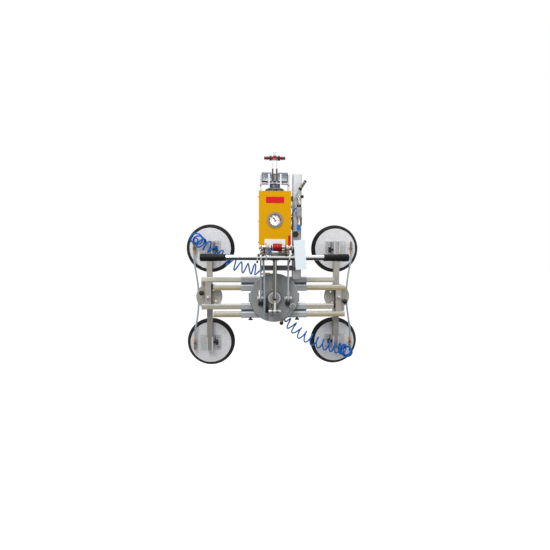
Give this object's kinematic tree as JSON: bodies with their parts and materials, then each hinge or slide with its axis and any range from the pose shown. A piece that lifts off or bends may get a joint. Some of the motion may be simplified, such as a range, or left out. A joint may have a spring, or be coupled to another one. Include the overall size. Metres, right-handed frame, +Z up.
{
  "type": "glass panel lifter",
  "caption": "Hoist-hung vacuum lifter for glass panes: round suction pads on swivelling arms and sliding rails, with a tilting head, a handlebar and a gauge box.",
  "frame": {"origin": "centre of the lifting eye's bore, from which the object hangs", "axes": "+X to the operator's right, +Y from the operator towards the pane, +Z up"},
  "size_m": [1.014, 0.269, 1.216],
  "materials": {
    "pale_zinc": "zinc plated, satin",
    "dark_paint": "dark satin paint",
    "mast_grey": "anodised, satin",
    "bright_steel": "bright plated",
    "anthracite": "moulded, semi gloss",
    "yellow_paint": "powder coat, satin",
    "clear_glass": "clear",
    "black_plastic": "moulded",
    "white_label": "smooth sheet",
    "bright_tube": "polished tube",
    "grip_rubber": "moulded rubber",
    "nickel": "nickel plated brass",
    "red_anodised": "anodised, knurled",
    "red_paint": "enamel",
    "blue_plastic": "moulded",
    "clear_hose": "clear hose",
    "grey_paint": "grey powder coat",
    "grey_steel": "turned steel",
    "sleeve_paint": "bluish grey powder coat",
    "brass": "turned brass",
    "warm_zinc": "yellow zinc plated, worn",
    "blue_hose": "polyurethane hose",
    "pad_metal": "rough cast, satin",
    "lip_rubber": "moulded rubber"
  },
  "bodies": {
    "hanger": {"side_plates": "pale_zinc", "crossbar": "dark_paint", "mast": "mast_grey", "top_channel": "pale_zinc", "lifting_eye": "bright_steel", "eye_cheeks": "dark_paint", "tank_housing": "anthracite", "box_cover": "yellow_paint", "frame_bolts": "bright_steel", "gauge_case": "bright_steel", "gauge_glass": "clear_glass", "blank_plates": "white_label", "handlebar": "bright_tube", "handle_grips": "grip_rubber", "valve_block": "nickel", "inlet_fittings": "nickel", "inlet_hoses": "clear_hose", "main_hose": "clear_hose"},
    "needle": {"gauge_needle": "black_plastic"},
    "slide_valve": {"slide_sleeve": "red_anodised"},
    "ball_valve": {"ball_lever": "red_paint"},
    "mast_clamp": {"mast_knob": "black_plastic"},
    "inlet_screw": {"inlet_knob": "black_plastic"},
    "shutoff_valve": {"shutoff_sleeve": "blue_plastic"},
    "strut_outer": {"strut_tube": "bright_tube"},
    "strut_inner": {"strut_rod": "bright_steel"},
    "tilt_head": {"tilt_disc": "grey_paint", "tilt_brackets": "grey_steel", "tilt_fittings": "grey_steel"},
    "rotation_lock": {"lock_lever": "black_plastic"},
    "rotation_pin": {"lock_plunger": "bright_steel"},
    "rotor": {"rotor_plate": "grey_paint", "rail_sleeves": "sleeve_paint", "rotor_fittings": "brass"},
    "rail_clamp_left": {"thumb_screw_left": "black_plastic"},
    "rail_clamp_right": {"thumb_screw_right": "black_plastic"},
    "left_carriage": {"left_rails": "warm_zinc", "left_post": "warm_zinc", "coil_left": "blue_hose"},
    "right_carriage": {"right_rails": "warm_zinc", "right_post": "warm_zinc", "coil_right": "blue_hose"},
    "left_index": {"left_index_pin": "black_plastic"},
    "right_index": {"right_index_pin": "black_plastic"},
    "left_swing": {"left_arm": "warm_zinc", "pad_hose_left": "clear_hose"},
    "right_swing": {"right_arm": "warm_zinc", "pad_hose_right": "clear_hose"},
    "pad_tl": {"pad_plate_tl": "pad_metal", "pad_lip_tl": "lip_rubber"},
    "pad_clamp_tl": {"pad_knob_tl": "black_plastic"},
    "pad_tr": {"pad_plate_tr": "pad_metal", "pad_lip_tr": "lip_rubber"},
    "pad_clamp_tr": {"pad_knob_tr": "black_plastic"},
    "pad_bl": {"pad_plate_bl": "pad_metal", "pad_lip_bl": "lip_rubber"},
    "pad_clamp_bl": {"pad_knob_bl": "black_plastic"},
    "pad_br": {"pad_plate_br": "pad_metal", "pad_lip_br": "lip_rubber"},
    "pad_clamp_br": {"pad_knob_br": "black_plastic"}
  },
  "joints": [
    {"name": "tilt", "type": "hinge", "parent": "hanger", "child": "tilt_head", "pos_m": [0, 0, -0.782], "axis": [-1, 0, 0], "range_deg": [0, 90], "deforming": ["main_hose"]},
    {"name": "rotation", "type": "hinge", "parent": "tilt_head", "child": "rotor", "pos_m": [0, 0, -0.782], "axis": [0, 1, 0], "continuous": true},
    {"name": "left_carriage_slide", "type": "slide", "parent": "rotor", "child": "left_carriage", "axis": [-1, 0, 0], "range_m": [0, 0.25], "deforming": ["coil_left"]},
    {"name": "right_carriage_slide", "type": "slide", "parent": "rotor", "child": "right_carriage", "axis": [1, 0, 0], "range_m": [0, 0.25], "deforming": ["coil_right"]},
    {"name": "left_arm_swivel", "type": "hinge", "parent": "left_carriage", "child": "left_swing", "pos_m": [-0.367, 0, -0.782], "axis": [0, 1, 0], "range_deg": [-45, 45], "deforming": ["coil_left"]},
    {"name": "right_arm_swivel", "type": "hinge", "parent": "right_carriage", "child": "right_swing", "pos_m": [0.367, 0, -0.782], "axis": [0, 1, 0], "range_deg": [-45, 45], "deforming": ["coil_right"]},
    {"name": "pad_slide_tl", "type": "slide", "parent": "left_swing", "child": "pad_tl", "axis": [0, 0, -1], "range_m": [0, 0.13], "deforming": ["pad_hose_left", "coil_left"]},
    {"name": "pad_clamp_turn_tl", "type": "hinge", "parent": "pad_tl", "child": "pad_clamp_tl", "pos_m": [-0.367, 0.113, -0.512], "axis": [1, 0, 0], "range_deg": [0, 270]},
    {"name": "pad_slide_tr", "type": "slide", "parent": "right_swing", "child": "pad_tr", "axis": [0, 0, -1], "range_m": [0, 0.13], "deforming": ["pad_hose_right"]},
    {"name": "pad_clamp_turn_tr", "type": "hinge", "parent": "pad_tr", "child": "pad_clamp_tr", "pos_m": [0.367, 0.113, -0.512], "axis": [-1, 0, 0], "range_deg": [0, 270]},
    {"name": "pad_slide_bl", "type": "slide", "parent": "left_swing", "child": "pad_bl", "axis": [0, 0, 1], "range_m": [0, 0.13], "deforming": ["pad_hose_left"]},
    {"name": "pad_clamp_turn_bl", "type": "hinge", "parent": "pad_bl", "child": "pad_clamp_bl", "pos_m": [-0.367, 0.113, -1.052], "axis": [1, 0, 0], "range_deg": [0, 270]},
    {"name": "pad_slide_br", "type": "slide", "parent": "right_swing", "child": "pad_br", "axis": [0, 0, 1], "range_m": [0, 0.13], "deforming": ["pad_hose_right", "coil_right"]},
    {"name": "pad_clamp_turn_br", "type": "hinge", "parent": "pad_br", "child": "pad_clamp_br", "pos_m": [0.367, 0.113, -1.052], "axis": [-1, 0, 0], "range_deg": [0, 270]},
    {"name": "left_index_pull", "type": "slide", "parent": "left_carriage", "child": "left_index", "axis": [0, 1, 0], "range_m": [0, 0.007]},
    {"name": "right_index_pull", "type": "slide", "parent": "right_carriage", "child": "right_index", "axis": [0, 1, 0], "range_m": [0, 0.007]},
    {"name": "rotation_lock_turn", "type": "hinge", "parent": "tilt_head", "child": "rotation_lock", "pos_m": [0.102, 0, -0.827], "axis": [0, -1, 0], "range_deg": [0, 90]},
    {"name": "rotation_pin_slide", "type": "slide", "parent": "tilt_head", "child": "rotation_pin", "axis": [0, 1, 0], "range_m": [0, 0.0071]},
    {"name": "strut_swing", "type": "hinge", "parent": "hanger", "child": "strut_outer", "pos_m": [0, -0.05, -0.567], "axis": [-1, 0, 0], "range_deg": [0, 6.08]},
    {"name": "strut_slide", "type": "slide", "parent": "strut_outer", "child": "strut_inner", "axis": [0, -0.0179, 0.9998], "range_m": [0, 0.1099]},
    {"name": "rail_clamp_turn_left", "type": "hinge", "parent": "rotor", "child": "rail_clamp_left", "pos_m": [-0.132, 0.053, -0.897], "axis": [0, 0, 1], "range_deg": [0, 180]},
    {"name": "rail_clamp_turn_right", "type": "hinge", "parent": "rotor", "child": "rail_clamp_right", "pos_m": [0.132, 0.053, -0.897], "axis": [0, 0, 1], "range_deg": [0, 180]},
    {"name": "needle_turn", "type": "hinge", "parent": "hanger", "child": "needle", "pos_m": [0, -0.053, -0.361], "axis": [0, 1, 0], "range_deg": [-85, 185]},
    {"name": "slide_valve_move", "type": "slide", "parent": "hanger", "child": "slide_valve", "axis": [1, 0, 0], "range_m": [0, 0.012]},
    {"name": "ball_valve_turn", "type": "hinge", "parent": "hanger", "child": "ball_valve", "pos_m": [0.072, -0.1, -0.506], "axis": [0, -1, 0], "range_deg": [0, 90]},
    {"name": "mast_clamp_turn", "type": "hinge", "parent": "hanger", "child": "mast_clamp", "pos_m": [0.11, -0.03, -0.434], "axis": [0, 1, 0], "range_deg": [0, 270]},
    {"name": "inlet_screw_turn", "type": "hinge", "parent": "hanger", "child": "inlet_screw", "pos_m": [0.14, -0.0455, -0.236], "axis": [1, 0, 0], "range_deg": [0, 270]},
    {"name": "shutoff_slide", "type": "slide", "parent": "hanger", "child": "shutoff_valve", "axis": [0, 0, -1], "range_m": [0, 0.003]}
  ],
  "couplings": [
    {"joint": "strut_swing", "follows": "tilt", "ratio": 0.067394},
    {"joint": "strut_slide", "follows": "tilt", "m_per_rad": 0.069636},
    {"joint": "rotation_pin_slide", "follows": "rotation_lock_turn", "m_per_rad": 0.004456}
  ]
}
